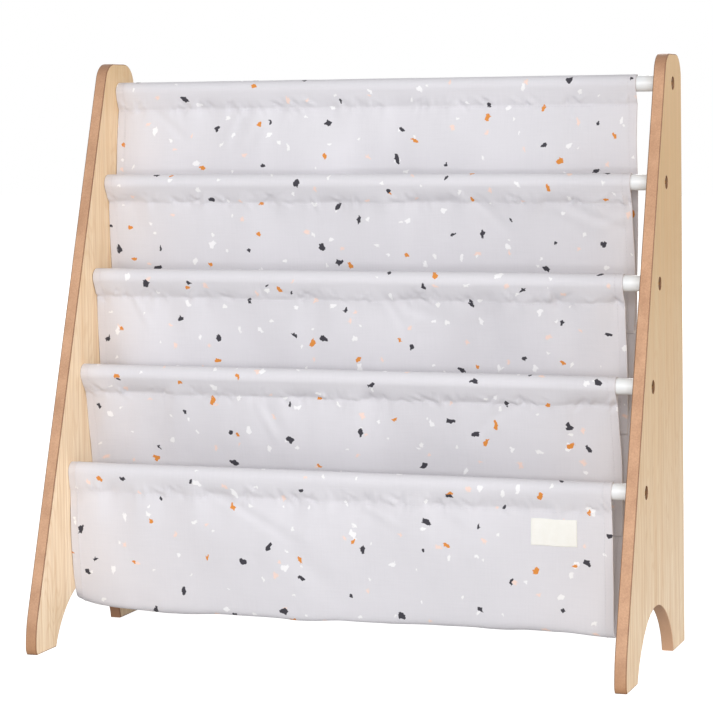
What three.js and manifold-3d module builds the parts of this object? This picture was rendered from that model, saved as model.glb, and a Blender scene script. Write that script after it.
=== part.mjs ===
// Sling bookshelf: two boards, five rods bolted between them, and cloth pockets hung from the rods.
// Millimetres. +X to the right, +Y to the back, +Z up, origin on the floor in the middle of the box.

import * as THREE from 'three';
import { mergeVertices } from 'three/addons/utils/BufferGeometryUtils.js';
import Module from 'manifold-3d';

const wasm = await Module();
wasm.setup();

// Clearances
const fitGap = 0.3; // between pieces that touch
const cutOverrun = 1; // how far a cutter reaches past a face

// Whole shelf
const shelfWidth = 620; // over the outsides of the boards
const rodCount = 5;

// Side boards
const boardThickness = 12;
const boardHeight = 599;
const topDepth = 67; // from the sloping edge's line to the back edge, at the top
const leanDegrees = 18.3; // of the sloping front edge, away from upright
const topFrontRadius = 22;
const topBackRadius = 24;
const toeRadius = 110; // the long curve from the sloping edge into the toe
const toeCornerRadius = 10;
const toeTipHeight = 7; // where the toe reaches furthest forward
const rearFootDepth = 54;
const archSpan = 156.5;
const archRise = 59;
const archApexShare = 0.5; // of the span, from the front foot
const archFrontShares = [0.14, 0.51, 0.55, 1]; // curve handles, of the front half's span and the rise
const archRearShares = [0.06, 0.5, 0.5, 1];
const easedEdge = 1; // bevel all round each face

// Rods
const rodDiameter = 16;
const topRodDrop = 29.5; // from the top of the boards
const lowestRodHeight = 176; // the others lie evenly between, along the slope
const rodInset = 36; // square to the sloping edge

// Threaded inserts in the rod ends
const insertDiameter = 9;
const insertLength = 20;

// Bolts, sunk in the boards
const boltDiameter = 6;
const boltEndGap = 2; // short of the insert's inner end
const boltTipChamfer = 0.8;
const boltHeadDiameter = 11.6;
const boltHeadHeight = 2.8;
const boltHeadChamfer = 0.6;
const socketWidth = 4; // across the flats of the hexagon
const socketDepth = 1.8;
const boltHeadClearance = 0.7; // round the head
const boltHeadRecess = 0.9; // below the board's face

// Cloth
const clothThickness = 1.2; // canvas, doubled where it is hemmed
const clothLeftGap = 0.5; // the sling is pushed up against the left board
const bareRod = 21.5; // between the sling and the right board
const seamDrop = 20; // from the rod's centre to the sleeve's seam
const seamAllowance = 4; // folded end of the sleeve below its seam
const pocketDepth = 145; // from the rod's centre to where its pocket ends
const foldDepth = 2.6; // of the soft upright folds
const foldCount = 2.4; // folds across the width
const cornerLift = 9; // of the bottom fold at its left end
const cornerLiftReach = 75; // how far along the fold that runs
const seamForwardShares = [0.12, 0.05, 0.02, 0, 0.14]; // of the seam's drop, per rod

// Label
const labelWidth = 46;
const labelHeight = 26;
const labelThickness = 0.8;
const labelEndInset = 34.5; // from the cloth's right edge
const labelSeamDrop = 9; // below the lowest sleeve's seam

// Facets
const rodSides = 24;
const holeSides = 12;
const archSteps = 9; // in each half of the arch
const arcSteps = 6;
const shortestEdge = 0.05;
const sleeveSteps = 12;
const clothSpans = 10;
const panelSteps = 7;
const stepsPerRow = 2; // along the main cloth
const labelRows = 2;
const labelSpans = 4;
const socketSides = 6;

// Derived places
const lean = THREE.MathUtils.degToRad(leanDegrees);
const toeStartHeight = toeTipHeight + toeRadius * Math.sin(lean);
const toeStartDepth = topDepth + (boardHeight - toeStartHeight) * Math.tan(lean);
const boardDepth = toeStartDepth + toeRadius * (1 - Math.cos(lean));
const backY = boardDepth / 2;
const frontY = -backY;
const innerFaceX = shelfWidth / 2 - boardThickness;
const rodLength = 2 * (innerFaceX - fitGap);
const rodStepZ = (boardHeight - topRodDrop - lowestRodHeight) / (rodCount - 1);
const rodStepY = rodStepZ * Math.tan(lean);
const counterboreDiameter = boltHeadDiameter + 2 * boltHeadClearance;
const counterboreDepth = boltHeadRecess + boltHeadHeight + fitGap;
const clothLeftX = -innerFaceX + clothLeftGap;
const clothRightX = innerFaceX - bareRod;
const clothWidth = clothRightX - clothLeftX;

const slopeY = (height) => backY - topDepth - (boardHeight - height) * Math.tan(lean);

const rods = Array.from({ length: rodCount }, (_, index) => {
  const height = boardHeight - topRodDrop - index * rodStepZ;
  return { y: slopeY(height) + rodInset / Math.cos(lean), z: height };
});

const materials = {
  board: new THREE.MeshStandardMaterial({ color: '#e2c39b', roughness: 0.55, metalness: 0 }),
  rod: new THREE.MeshStandardMaterial({ color: '#f0f1f0', roughness: 0.4, metalness: 0 }),
  cloth: new THREE.MeshStandardMaterial({ color: '#dedce1', roughness: 0.9, metalness: 0 }),
  label: new THREE.MeshStandardMaterial({ color: '#f6f4ec', roughness: 0.85, metalness: 0 }),
  bolt: new THREE.MeshStandardMaterial({ color: '#80603f', roughness: 0.4, metalness: 1 }),
  insert: new THREE.MeshStandardMaterial({ color: '#b8b6ae', roughness: 0.4, metalness: 1 }),
};

const shelf = new THREE.Group();

function addPiece(name, geometry, material) {
  const mesh = new THREE.Mesh(geometry, material.clone());
  mesh.name = name;
  shelf.add(mesh);
}

function toSolid(geometry) {
  const bare = geometry.clone();
  bare.deleteAttribute('normal');
  bare.deleteAttribute('uv');
  const merged = mergeVertices(bare);
  const triVerts = new Uint32Array(merged.index.array);
  return new wasm.Manifold(new wasm.Mesh({ numProp: 3, vertProperties: merged.attributes.position.array, triVerts }));
}

function toGeometry(solid) {
  const mesh = solid.getMesh();
  const geometry = new THREE.BufferGeometry();
  geometry.setAttribute('position', new THREE.BufferAttribute(mesh.vertProperties, 3));
  geometry.setIndex(new THREE.BufferAttribute(mesh.triVerts, 1));
  geometry.computeVertexNormals();
  return geometry;
}

// Lathed about X: the profile's first number is the radius, its second the place along X.
function turned(profile, sides) {
  const points = profile.map(([radius, along]) => new THREE.Vector2(radius, along));
  return new THREE.LatheGeometry(points, sides).rotateZ(-Math.PI / 2);
}

function cylinderAlongX(diameter, fromX, toX, centre, sides) {
  const length = toX - fromX;
  const cylinder = new THREE.CylinderGeometry(diameter / 2, diameter / 2, length, sides);
  return cylinder.rotateZ(-Math.PI / 2).translate(fromX + length / 2, centre.y, centre.z);
}

// Neighbouring arcs meet at one point, which is kept once.
function withoutRepeats(points) {
  return points.filter((point, index) => {
    const previous = points[(index + points.length - 1) % points.length];
    return point.distanceTo(previous) > shortestEdge;
  });
}

// Board outline, drawn with Y across and Z up.
function boardOutline() {
  const archFront = backY - rearFootDepth - archSpan;
  const archApex = archFront + archApexShare * archSpan;
  const archRear = archFront + archSpan;
  const frontHalf = archApex - archFront;
  const rearHalf = archRear - archApex;
  const [frontLow, frontLowRise, frontHigh, frontHighRise] = archFrontShares;
  const [rearLow, rearLowRise, rearHigh, rearHighRise] = archRearShares;
  const toeFloorAngle = Math.asin(toeTipHeight / toeCornerRadius);
  const topFrontTangent = topFrontRadius * Math.tan((Math.PI / 2 - lean) / 2);
  const topFrontCentreY = slopeY(boardHeight) + topFrontTangent;

  const archCurve = (...ends) => new THREE.CubicBezierCurve(...ends.map(([y, z]) => new THREE.Vector2(y, z)));
  const rising = archCurve(
    [archFront, 0],
    [archFront + frontLow * frontHalf, frontLowRise * archRise],
    [archFront + frontHigh * frontHalf, frontHighRise * archRise],
    [archApex, archRise],
  );
  const falling = archCurve(
    [archApex, archRise],
    [archRear - rearHigh * rearHalf, rearHighRise * archRise],
    [archRear - rearLow * rearHalf, rearLowRise * archRise],
    [archRear, 0],
  );
  const arc = (y, z, radius, from, to) => new THREE.ArcCurve(y, z, radius, from, to, false).getPoints(arcSteps);
  return new THREE.Shape(withoutRepeats([
    ...rising.getPoints(archSteps),
    ...falling.getPoints(archSteps),
    new THREE.Vector2(backY, 0),
    ...arc(backY - topBackRadius, boardHeight - topBackRadius, topBackRadius, 0, Math.PI / 2),
    ...arc(topFrontCentreY, boardHeight - topFrontRadius, topFrontRadius, Math.PI / 2, Math.PI - lean),
    ...arc(frontY + toeRadius, toeTipHeight, toeRadius, Math.PI - lean, Math.PI),
    ...arc(frontY + toeCornerRadius, toeTipHeight, toeCornerRadius, Math.PI, Math.PI + toeFloorAngle),
  ]));
}

function sideBoard(side) {
  const blank = new THREE.ExtrudeGeometry(boardOutline(), {
    depth: boardThickness - 2 * easedEdge,
    bevelThickness: easedEdge,
    bevelSize: easedEdge,
    bevelOffset: -easedEdge,
    bevelSegments: 1,
  });
  blank.translate(0, 0, easedEdge);
  blank.applyMatrix4(new THREE.Matrix4().set(0, 0, 1, 0, 1, 0, 0, 0, 0, 1, 0, 0, 0, 0, 0, 1));
  const innerX = side * innerFaceX;
  const outerX = side * (innerFaceX + boardThickness);
  blank.translate(Math.min(innerX, outerX), 0, 0);
  let board = toSolid(blank);
  for (const rod of rods) {
    const holeEnds = [innerX - side * cutOverrun, outerX + side * cutOverrun].sort((a, b) => a - b);
    const sinkEnds = [outerX - side * counterboreDepth, outerX + side * cutOverrun].sort((a, b) => a - b);
    const hole = cylinderAlongX(boltDiameter + 2 * fitGap, ...holeEnds, rod, holeSides);
    const counterbore = cylinderAlongX(counterboreDiameter, ...sinkEnds, rod, rodSides);
    board = board.subtract(toSolid(hole)).subtract(toSolid(counterbore));
  }
  return toGeometry(board);
}

function dowel(rod) {
  let solid = toSolid(cylinderAlongX(rodDiameter, -rodLength / 2, rodLength / 2, rod, rodSides));
  const boreDiameter = insertDiameter + 2 * fitGap;
  const boreDepth = insertLength + fitGap;
  for (const side of [-1, 1]) {
    const boreEnds = [side * (rodLength / 2 - boreDepth), side * (rodLength / 2 + cutOverrun)].sort((a, b) => a - b);
    solid = solid.subtract(toSolid(cylinderAlongX(boreDiameter, ...boreEnds, rod, holeSides)));
  }
  return toGeometry(solid);
}

function threadedInsert(rod, side) {
  const outer = insertDiameter / 2;
  const bore = boltDiameter / 2 + fitGap;
  const profile = [[bore, 0], [outer, 0], [outer, insertLength], [bore, insertLength], [bore, 0]];
  const geometry = turned(profile, holeSides);
  const startX = side > 0 ? rodLength / 2 - insertLength : -rodLength / 2;
  return geometry.translate(startX, rod.y, rod.z);
}

// Drawn with the head's underside at zero and the shank along +X, then turned for the right-hand board.
function bolt(rod, side) {
  const shankLength = boardThickness - counterboreDepth + insertLength - boltEndGap;
  const shank = boltDiameter / 2;
  const head = boltHeadDiameter / 2;
  const profile = [
    [0, -boltHeadHeight],
    [head - boltHeadChamfer, -boltHeadHeight],
    [head, -boltHeadHeight + boltHeadChamfer],
    [head, 0],
    [shank, 0],
    [shank, shankLength - boltTipChamfer],
    [shank - boltTipChamfer, shankLength],
    [0, shankLength],
  ];
  const hexagon = socketWidth / Math.cos(Math.PI / socketSides);
  const socketEnds = [-boltHeadHeight - cutOverrun, -boltHeadHeight + socketDepth];
  const socket = cylinderAlongX(hexagon, ...socketEnds, { y: 0, z: 0 }, socketSides);
  const geometry = toGeometry(toSolid(turned(profile, holeSides)).subtract(toSolid(socket)));
  const seatX = innerFaceX + boardThickness - counterboreDepth + fitGap;
  if (side > 0) geometry.rotateZ(Math.PI);
  return geometry.translate(side * seatX, rod.y, rod.z);
}

// Places in the upright plane across the shelf: Y to the back and Z up.
const place = (y, z) => new THREE.Vector3(0, y, z);
const acrossShare = (x) => (x - clothLeftX) / clothWidth;
const cornerLiftAt = (x) => cornerLift * Math.max(0, 1 - (x - clothLeftX) / cornerLiftReach) ** 2;
const foldAt = (x, phaseShare) => foldDepth * Math.sin(2 * Math.PI * (foldCount * acrossShare(x) + phaseShare));

function offset(point, tangent, distance) {
  return place(point.y - tangent.z * distance, point.z + tangent.y * distance);
}

// A closed solid through one section per station along X. Each section has an outline and its holes.
function sweep(stations, sectionAt) {
  const sections = stations.map((x) => {
    const { outline, holes } = sectionAt(x);
    const flat = (loop) => loop.map((point) => new THREE.Vector2(point.y, point.z));
    const turnedTo = (loop, clockwise) => (THREE.ShapeUtils.isClockWise(loop) === clockwise ? loop : loop.reverse());
    return { x, loops: [turnedTo(flat(outline), false), ...holes.map((hole) => turnedTo(flat(hole), true))] };
  });
  const perSection = sections[0].loops.reduce((total, loop) => total + loop.length, 0);
  const positions = sections.flatMap(({ x, loops }) => loops.flat().flatMap((point) => [x, point.x, point.y]));
  const index = [];
  for (let station = 0; station + 1 < sections.length; station += 1) {
    let start = station * perSection;
    for (const loop of sections[0].loops) {
      for (let here = 0; here < loop.length; here += 1) {
        const next = (here + 1) % loop.length;
        const [a, b] = [start + here, start + next];
        index.push(a, b, a + perSection, b, b + perSection, a + perSection);
      }
      start += loop.length;
    }
  }
  const lastStart = (sections.length - 1) * perSection;
  const capOf = (section) => THREE.ShapeUtils.triangulateShape(section.loops[0], section.loops.slice(1));
  for (const [a, b, c] of capOf(sections[0])) index.push(a, c, b);
  for (const [a, b, c] of capOf(sections[sections.length - 1])) index.push(lastStart + a, lastStart + b, lastStart + c);
  const geometry = new THREE.BufferGeometry();
  geometry.setAttribute('position', new THREE.Float32BufferAttribute(positions, 3));
  geometry.setIndex(index);
  geometry.computeVertexNormals();
  return geometry;
}

function stationsBetween(from, to, spans) {
  return Array.from({ length: spans + 1 }, (_, station) => from + ((to - from) * station) / spans);
}

// The front layer's centre line at the seam under a rod.
function seamPoint(rodIndex) {
  const rod = rods[rodIndex];
  return place(rod.y - clothThickness / 2 - seamForwardShares[rodIndex] * seamDrop, rod.z - seamDrop);
}

// Points over a rod from its front to its back, at one radius, between the lines to two seam points.
function overRod(rod, radius, frontPoint, rearPoint) {
  const angleTo = (point) => Math.atan2(point.z - rod.z, point.y - rod.y);
  const reach = (point) => Math.acos(radius / Math.hypot(point.y - rod.y, point.z - rod.z));
  const start = angleTo(frontPoint) - reach(frontPoint);
  const end = angleTo(rearPoint) + reach(rearPoint) - 2 * Math.PI;
  return Array.from({ length: sleeveSteps + 1 }, (_, step) => {
    const angle = start + ((end - start) * step) / sleeveSteps;
    return place(rod.y + radius * Math.cos(angle), rod.z + radius * Math.sin(angle));
  });
}

// The sleeve's outside from the front of its seam to the end of its rear layer, and the hollow that the rod fills.
function sleeve(rodIndex, seam, down, allowanceEnd) {
  const rod = rods[rodIndex];
  const innerRadius = rodDiameter / 2 + fitGap;
  const rearSide = (point, layers) => offset(point, down, (layers - 0.5) * clothThickness);
  const frontPoint = rearSide(seam, 0);
  const rearPoint = rearSide(seam, 2);
  const hollowPoint = place(rearSide(seam, 1).y, rearSide(seam, 1).z + clothThickness);
  return {
    outside: [
      frontPoint,
      ...overRod(rod, innerRadius + clothThickness, frontPoint, rearPoint),
      rearPoint,
      rearSide(allowanceEnd, 2),
      rearSide(allowanceEnd, 1),
    ],
    hollow: [hollowPoint, ...overRod(rod, innerRadius, hollowPoint, hollowPoint)],
  };
}

// Main cloth: from the top rod down the back of every pocket, round the bottom fold and up to the lowest rod.
// Each row places one point of its line: shares of the rods' step behind a rod, and of a pocket's depth below it.
const mainClothShares = [
  { rod: 0, behindShare: -0.22, belowShare: 0.4, foldShare: 0.6, rightShare: -0.06, liftShare: 0 },
  { rod: 0, behindShare: -0.27, belowShare: 0.72, foldShare: 1, rightShare: 0, liftShare: 0 },
  { rod: 1, behindShare: 0.66, belowShare: 0.62, foldShare: 0.7, rightShare: 0.02, liftShare: 0 },
  { rod: 1, behindShare: 0.44, belowShare: 1, foldShare: 0.4, rightShare: 0.03, liftShare: 0 },
  { rod: 2, behindShare: 0.55, belowShare: 1, foldShare: 0.4, rightShare: 0.03, liftShare: 0 },
  { rod: 3, behindShare: 0.9, belowShare: 1, foldShare: 0.6, rightShare: 0, liftShare: 0 },
  { rod: 4, behindShare: 0.93, belowShare: 0.87, foldShare: 0.8, rightShare: -0.12, liftShare: 0.6 },
  { rod: 4, behindShare: 0.82, belowShare: 0.965, foldShare: 0.8, rightShare: -0.15, liftShare: 1 },
  { rod: 4, behindShare: 0.56, belowShare: 1, foldShare: 0.8, rightShare: -0.15, liftShare: 1 },
  { rod: 4, behindShare: 0.27, belowShare: 0.95, foldShare: 0.8, rightShare: -0.15, liftShare: 0.7 },
  { rod: 4, behindShare: 0.1, belowShare: 0.72, foldShare: 0.9, rightShare: -0.1, liftShare: 0 },
  { rod: 4, behindShare: -0.08, belowShare: 0.38, foldShare: 0.5, rightShare: -0.05, liftShare: 0 },
];
const junctionRows = [3, 4, 5]; // rows where the pocket cloths of rods 2, 3 and 4 are sewn on

function mainLine(x) {
  const rows = mainClothShares.map((row) => {
    const sideways = (2 * acrossShare(x) - 1) * row.rightShare;
    const y = rods[row.rod].y + (row.behindShare + sideways) * rodStepY;
    const z = rods[row.rod].z - row.belowShare * pocketDepth;
    return place(y + row.foldShare * foldAt(x, row.rod / rodCount), z + row.liftShare * cornerLiftAt(x));
  });
  const points = [seamPoint(0), ...rows, seamPoint(rodCount - 1)];
  return new THREE.CatmullRomCurve3(points, false, 'centripetal');
}

function mainSection(x) {
  const line = mainLine(x);
  const spans = mainClothShares.length + 1;
  const allowanceShare = seamAllowance / line.getLength();
  const lineSteps = stepsPerRow * spans;
  const steps = Array.from({ length: lineSteps - 1 }, (_, step) => (step + 1) / lineSteps);
  const along = steps.map((share) => ({ point: line.getPoint(share), tangent: line.getTangent(share) }));
  const top = sleeve(0, line.getPoint(0), line.getTangent(0), line.getPointAt(allowanceShare));
  const down = line.getTangent(1).negate();
  const low = sleeve(rodCount - 1, line.getPoint(1), down, line.getPointAt(1 - allowanceShare));
  const outer = along.map(({ point, tangent }) => offset(point, tangent, clothThickness / 2));
  const inner = along.map(({ point, tangent }) => offset(point, tangent, -clothThickness / 2));
  return {
    outline: [...top.outside, ...outer, ...low.outside, ...inner.reverse()],
    holes: [top.hollow, low.hollow],
  };
}

// Pocket cloths: from a rod's seam down to the main cloth. Shares bow the cloth to the back,
// at the left and right ends, in parts of the rods' step.
const bowShares = [
  { leftShare: -0.31, rightShare: 0.24 },
  { leftShare: -0.31, rightShare: -0.2 },
  { leftShare: 0.02, rightShare: 0.18 },
];
const upperHandleShare = 0.36;
const lowerHandleShare = 0.7;
const lowerBowShare = 0.5; // of the bow at the upper handle

function pocketLine(x, pocket) {
  const rodIndex = pocket + 1;
  const line = mainLine(x);
  const sewnShare = (junctionRows[pocket] + 1) / (mainClothShares.length + 1);
  const sewn = offset(line.getPoint(sewnShare), line.getTangent(sewnShare), -(clothThickness + fitGap));
  const seam = seamPoint(rodIndex);
  const { leftShare, rightShare } = bowShares[pocket];
  const bow = THREE.MathUtils.lerp(leftShare, rightShare, acrossShare(x)) * rodStepY;
  const handle = (share, weight) => {
    const y = THREE.MathUtils.lerp(seam.y, sewn.y, share) + weight * (bow + foldAt(x, (rodIndex + share) / rodCount));
    return place(y, THREE.MathUtils.lerp(seam.z, sewn.z, share));
  };
  return new THREE.CubicBezierCurve3(seam, handle(upperHandleShare, 1), handle(lowerHandleShare, lowerBowShare), sewn);
}

function pocketSection(x, pocket) {
  const line = pocketLine(x, pocket);
  const allowanceShare = seamAllowance / line.getLength();
  const steps = Array.from({ length: panelSteps }, (_, step) => (step + 1) / panelSteps);
  const along = steps.map((share) => ({ point: line.getPointAt(share), tangent: line.getTangentAt(share) }));
  const top = sleeve(pocket + 1, line.getPoint(0), line.getTangent(0), line.getPointAt(allowanceShare));
  const rear = along.map(({ point, tangent }) => offset(point, tangent, clothThickness / 2));
  const front = along.map(({ point, tangent }) => offset(point, tangent, -clothThickness / 2));
  return { outline: [...top.outside, ...rear, ...front.reverse()], holes: [top.hollow] };
}

// Label: a flat tab against the front of the lowest tier, following its surface.
function labelSection(x) {
  const line = mainLine(x);
  const fromTop = (drop) => 1 - drop / line.getLength();
  const rows = stationsBetween(labelSeamDrop, labelSeamDrop + labelHeight, labelRows).map(fromTop);
  const at = (share, lift) => offset(line.getPointAt(share), line.getTangentAt(share), clothThickness / 2 + lift);
  const back = rows.map((share) => at(share, fitGap));
  const face = rows.map((share) => at(share, fitGap + labelThickness));
  return { outline: [...back, ...face.reverse()], holes: [] };
}

const clothStations = stationsBetween(clothLeftX, clothRightX, clothSpans);
const labelRightX = clothRightX - labelEndInset;

for (const [side, sideName] of [[-1, 'left'], [1, 'right']]) {
  addPiece(`${sideName}_side_board`, sideBoard(side), materials.board);
  rods.forEach((rod, index) => {
    addPiece(`${sideName}_insert_${index + 1}`, threadedInsert(rod, side), materials.insert);
    addPiece(`${sideName}_bolt_${index + 1}`, bolt(rod, side), materials.bolt);
  });
}
rods.forEach((rod, index) => addPiece(`rod_${index + 1}`, dowel(rod), materials.rod));
addPiece('main_cloth', sweep(clothStations, mainSection), materials.cloth);
for (const pocket of junctionRows.keys()) {
  const name = `pocket_cloth_${pocket + 1}`;
  addPiece(name, sweep(clothStations, (x) => pocketSection(x, pocket)), materials.cloth);
}
const labelStations = stationsBetween(labelRightX - labelWidth, labelRightX, labelSpans);
addPiece('label', sweep(labelStations, labelSection), materials.label);

export default shelf;
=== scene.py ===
# Sling bookshelf: two boards, five dowels, and pockets of printed canvas hung from the dowels.
# Metres in Blender, millimetres in the settings. +X right, +Y back, +Z up.
import math

import bmesh
import bpy
import numpy as np
from mathutils import Matrix, Vector


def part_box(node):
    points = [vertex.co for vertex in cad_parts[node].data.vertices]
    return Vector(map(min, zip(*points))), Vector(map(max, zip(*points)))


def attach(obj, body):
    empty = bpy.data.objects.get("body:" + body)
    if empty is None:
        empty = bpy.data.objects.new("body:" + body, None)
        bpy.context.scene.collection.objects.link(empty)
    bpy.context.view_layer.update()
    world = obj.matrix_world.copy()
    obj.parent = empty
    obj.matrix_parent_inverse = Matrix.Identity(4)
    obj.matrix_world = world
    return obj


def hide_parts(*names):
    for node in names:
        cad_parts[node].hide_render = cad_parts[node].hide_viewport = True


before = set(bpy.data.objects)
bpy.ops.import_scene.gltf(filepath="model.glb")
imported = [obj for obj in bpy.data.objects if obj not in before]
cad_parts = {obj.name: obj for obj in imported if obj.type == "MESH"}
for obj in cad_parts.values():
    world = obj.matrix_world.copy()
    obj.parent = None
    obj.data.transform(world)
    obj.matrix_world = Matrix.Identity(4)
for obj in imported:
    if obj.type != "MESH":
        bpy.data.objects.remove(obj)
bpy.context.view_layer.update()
mm = 0.001

# Camera, fitted to the board outlines, dowel ends and bolts
view = {
    "place": (0.85663, -2.4170, 0.53855),
    "yaw": 0.33905,  # radians, to the left
    "pitch": -0.034,
    "roll": -0.011,
    "focalPixels": 2539.2,
    "imagePixels": 713,
    "levelRow": 203.96,  # where the view axis meets the picture
    "sensor": 36,
}


def makeCamera():
    yaw, pitch, roll = view["yaw"], view["pitch"], view["roll"]
    ahead = Vector((-math.sin(yaw) * math.cos(pitch), math.cos(yaw) * math.cos(pitch), math.sin(pitch)))
    level = Vector((math.cos(yaw), math.sin(yaw), 0))
    upright = level.cross(ahead)
    right = level * math.cos(roll) + upright * math.sin(roll)
    up = upright * math.cos(roll) - level * math.sin(roll)
    data = bpy.data.cameras.new("photoCamera")
    data.sensor_fit = "HORIZONTAL"
    data.sensor_width = view["sensor"]
    data.lens = view["focalPixels"] * view["sensor"] / view["imagePixels"]
    data.shift_y = view["levelRow"] / view["imagePixels"] - 0.5
    data.clip_start = 0.05
    data.clip_end = 50
    camera = bpy.data.objects.new("photoCamera", data)
    axes = Matrix((right, up, -ahead)).transposed()
    camera.matrix_world = Matrix.Translation(view["place"]) @ axes.to_4x4()
    bpy.context.scene.collection.objects.link(camera)
    bpy.context.scene.camera = camera


makeCamera()
print("camera set")


def srgb(code):
    parts = [int(code[i:i + 2], 16) / 255 for i in (1, 3, 5)]
    return (*[c / 12.92 if c <= 0.04045 else ((c + 0.055) / 1.055) ** 2.4 for c in parts], 1)


# Adds a node. inputs maps a socket's name or number to a value or to the socket that feeds it.
def addNode(tree, kind, inputs=None, **settings):
    node = tree.nodes.new("ShaderNode" + kind)
    for name, value in settings.items():
        setattr(node, name, value)
    for socket, value in (inputs or {}).items():
        if isinstance(value, bpy.types.NodeSocket):
            tree.links.new(value, node.inputs[socket])
        else:
            node.inputs[socket].default_value = value
    return node


# The nodes used most. Each gives its output socket, and noise gives both of its own.
def maths(tree, operation, *values):
    return addNode(tree, "Math", dict(enumerate(values)), operation=operation).outputs[0]


def vectorMaths(tree, operation, *values):
    return addNode(tree, "VectorMath", dict(enumerate(values)), operation=operation).outputs[0]


def ramp(tree, value, low, high, toLow=0, toHigh=1):
    inputs = {"Value": value, "From Min": low, "From Max": high, "To Min": toLow, "To Max": toHigh}
    return addNode(tree, "MapRange", inputs).outputs[0]


def blend(tree, share, first, second):
    first, second = [srgb(colour) if isinstance(colour, str) else colour for colour in (first, second)]
    return addNode(tree, "Mix", {0: share, 6: first, 7: second}, data_type="RGBA").outputs[2]


def stretched(tree, place, scale):
    return addNode(tree, "Mapping", {"Vector": place, "Scale": scale}).outputs[0]


def noise(tree, place, scale, detail, roughness=0.5, dimensions="3D"):
    inputs = {"Vector": place, "Scale": scale, "Detail": detail, "Roughness": roughness}
    return addNode(tree, "TexNoise", inputs, noise_dimensions=dimensions).outputs


# Threads that cross at right angles, pitch millimetres apart, as a height
def weave(tree, place, pitch):
    split = addNode(tree, "SeparateXYZ", {0: place}).outputs
    turn = 2 * math.pi / (pitch * mm)
    waves = [maths(tree, "SINE", maths(tree, "MULTIPLY", split[axis], turn)) for axis in (0, 1)]
    return maths(tree, "MULTIPLY", *waves)


def newMaterial(name):
    material = bpy.data.materials.new(name)
    material.use_nodes = True
    material.node_tree.nodes.clear()
    return material, material.node_tree


# The shader of a material. bump is a height, its strength, and its depth in millimetres.
def addSurface(tree, colour, roughness, bump, more=None):
    height, strength, depth = bump
    bumped = addNode(tree, "Bump", {"Height": height, "Strength": strength, "Distance": depth * mm})
    inputs = {"Base Color": colour, "Roughness": roughness, "Normal": bumped.outputs[0], **(more or {})}
    shader = addNode(tree, "BsdfPrincipled", inputs)
    addNode(tree, "OutputMaterial", {"Surface": shader.outputs[0]})


# Printed canvas, woven from cotton: matt, with a fine even weave and soft slubs. Its print is a scatter
# of chips.
canvas = {
    "ground": "#dddbe0",
    "slub": "#d9d7dc",
    "weave": 1.3,  # mm; real threads are 0.5 mm apart, too fine to show, so they are drawn coarser
    "weaveRelief": 0.3,
    "slubLength": 28,
    "slubWidth": 1.6,
    "slubRelief": 0.35,
    "mottleScale": 22,
    "roughness": 0.88,
    # painted shade: the doubled hem lets less light through, so its band is tinted darker
    "hemShadeTint": "#d8d2d7",
    "hemShadeShare": 0.12,
    "raggedScale": 260,
    "ragged": 3.5,  # mm, how far noise moves the edges of the chips
    "squeeze": (0.87, 1.15, 0),  # lengthens the chips one way
    "scatter": 0.85,
    "smaller": 1.3,  # above 1, more of the chips are small
}
# Each layer has one chip to a cell. Size is the smallest and largest reach of a chip from its middle, in mm.
chips = [
    {"colour": "#f3d9ce", "cell": 58, "size": (2.3, 3.9), "soft": 1.5, "shift": (31.3, 7.7), "turn": 1.1},
    {"colour": "#f5f4f6", "cell": 55, "size": (1.9, 4.4), "soft": 1.0, "shift": (3.1, 52.4), "turn": 0.3},
    {"colour": "#f3f2f3", "cell": 50, "size": (1.6, 3.5), "soft": 1.0, "shift": (23.9, 12.6), "turn": 2.1},
    {"colour": "#df8e3e", "cell": 76, "size": (2.2, 4.3), "soft": 0.5, "shift": (13.7, 41.2), "turn": 1.7},
    {"colour": "#3c3a42", "cell": 59, "size": (2.0, 4.5), "soft": 0.5, "shift": (8.8, 17.5), "turn": 2.6},
]
# A chip's straight sides: which way each faces, in degrees, and how far out it lies
chipSides = ((8, 1.0), (83, 0.75), (152, 1.1), (214, 0.7), (291, 1.0))


# Lays one layer of chips over a colour. Each chip is turned and squeezed by its own lot.
def addChips(tree, place, chip, colour):
    cell = 1 / (chip["cell"] * mm)
    spread = addNode(tree, "Mapping", {
        "Vector": place,
        "Location": (*chip["shift"], 0),
        "Rotation": (0, 0, chip["turn"]),
        "Scale": (cell, cell, 1),
    }).outputs[0]
    cells = addNode(tree, "TexVoronoi", {"Vector": spread, "Scale": 1, "Randomness": canvas["scatter"]},
                    voronoi_dimensions="2D").outputs
    lots = addNode(tree, "SeparateColor", {0: cells["Color"]}).outputs
    apart = vectorMaths(tree, "SUBTRACT", spread, cells["Position"])
    inside = addNode(tree, "VectorMath", {0: apart, "Scale": chip["cell"]}, operation="SCALE").outputs[0]
    for lot in (0, 2):
        turned = maths(tree, "MULTIPLY", lots[lot], 2 * math.pi)
        spun = addNode(tree, "VectorRotate", {"Vector": inside, "Angle": turned}, rotation_type="Z_AXIS")
        inside = vectorMaths(tree, "MULTIPLY", spun.outputs[0], canvas["squeeze"])
    reach = None
    for facing, distance in chipSides:
        angle = math.radians(facing)
        outward = (math.cos(angle) / distance, math.sin(angle) / distance, 0)
        side = addNode(tree, "VectorMath", {0: inside, 1: outward}, operation="DOT_PRODUCT").outputs["Value"]
        reach = side if reach is None else maths(tree, "MAXIMUM", reach, side)
    size = ramp(tree, maths(tree, "POWER", lots[1], canvas["smaller"]), 0, 1, *chip["size"])
    mask = ramp(tree, maths(tree, "SUBTRACT", size, reach), 0, chip["soft"])
    return blend(tree, mask, colour, chip["colour"])


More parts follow.
